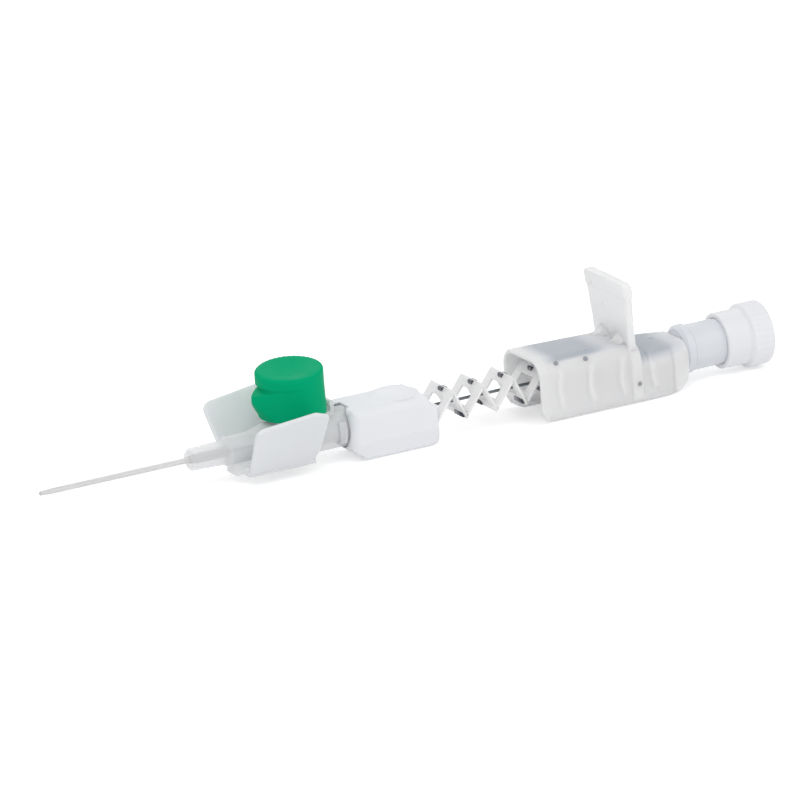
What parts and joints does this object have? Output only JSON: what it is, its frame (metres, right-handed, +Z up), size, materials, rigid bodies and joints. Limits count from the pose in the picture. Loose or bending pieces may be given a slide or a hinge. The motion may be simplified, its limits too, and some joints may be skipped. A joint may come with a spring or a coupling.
{
  "type": "iv cannula",
  "caption": "Ported safety cannula for a vein, with raised wings, a flip-open port cap, a tip guard on a folding strip and a clear grip with a finger tab.",
  "frame": {"origin": "on the needle's axis, 0.3 mm in front of the catheter hub's nose, where the catheter tube's straight length ends", "axes": "+X along the needle from the catheter tip to the vent cap, +Z up towards the port cap and the finger tab, +Y across to the left wing"},
  "size_m": [0.1273, 0.0206, 0.0199],
  "materials": {
    "tube": "translucent, smooth",
    "clear": "clear moulded",
    "wing": "translucent, fine satin",
    "barrel": "milky translucent moulded",
    "chamber": "clear moulded",
    "strip": "translucent moulded",
    "white": "milky white satin",
    "white_cap": "white satin",
    "green": "green satin",
    "steel": "drawn and polished",
    "silicone": "soft translucent",
    "filter": "porous"
  },
  "bodies": {
    "needle_unit": {"grip_barrel": "barrel", "strip_anchor": "strip", "needle": "steel", "needle_hub": "clear", "flash_chamber": "chamber", "vent_filter": "filter", "folding_strip": "strip"},
    "tip_guard": {"guard_housing": "white", "guard_nose": "clear", "guard_back_plate": "white", "guard_clip": "steel"},
    "catheter": {"catheter_tube": "tube", "tube_wedge": "steel", "catheter_hub": "clear", "port_valve": "silicone", "port_strap": "green"},
    "left_wing": {"wing_left": "wing"},
    "right_wing": {"wing_right": "wing"},
    "cap": {"port_cap": "green"},
    "vent": {"vent_cap": "white_cap"}
  },
  "joints": [
    {"name": "needle_travel", "type": "slide", "parent": "needle_unit", "child": "tip_guard", "axis": [-1, 0, 0], "range_m": [-0.0266, 0.0309], "deforming": ["folding_strip"]},
    {"name": "catheter_release", "type": "slide", "parent": "tip_guard", "child": "catheter", "axis": [-1, 0, 0], "range_m": [0, 0.012]},
    {"name": "port_cap_flip", "type": "hinge", "parent": "catheter", "child": "cap", "pos_m": [0.02475, 0, 0.0046], "axis": [0, 1, 0], "range_deg": [0, 95]},
    {"name": "left_wing_fold", "type": "hinge", "parent": "catheter", "child": "left_wing", "pos_m": [0.014, 0.004, -0.0032], "axis": [-1, 0, 0], "range_deg": [0, 58]},
    {"name": "right_wing_fold", "type": "hinge", "parent": "catheter", "child": "right_wing", "pos_m": [0.014, -0.004, -0.0032], "axis": [1, 0, 0], "range_deg": [0, 58]},
    {"name": "vent_cap_pull", "type": "slide", "parent": "needle_unit", "child": "vent", "axis": [1, 0, 0], "range_m": [0, 0.008]}
  ]
}
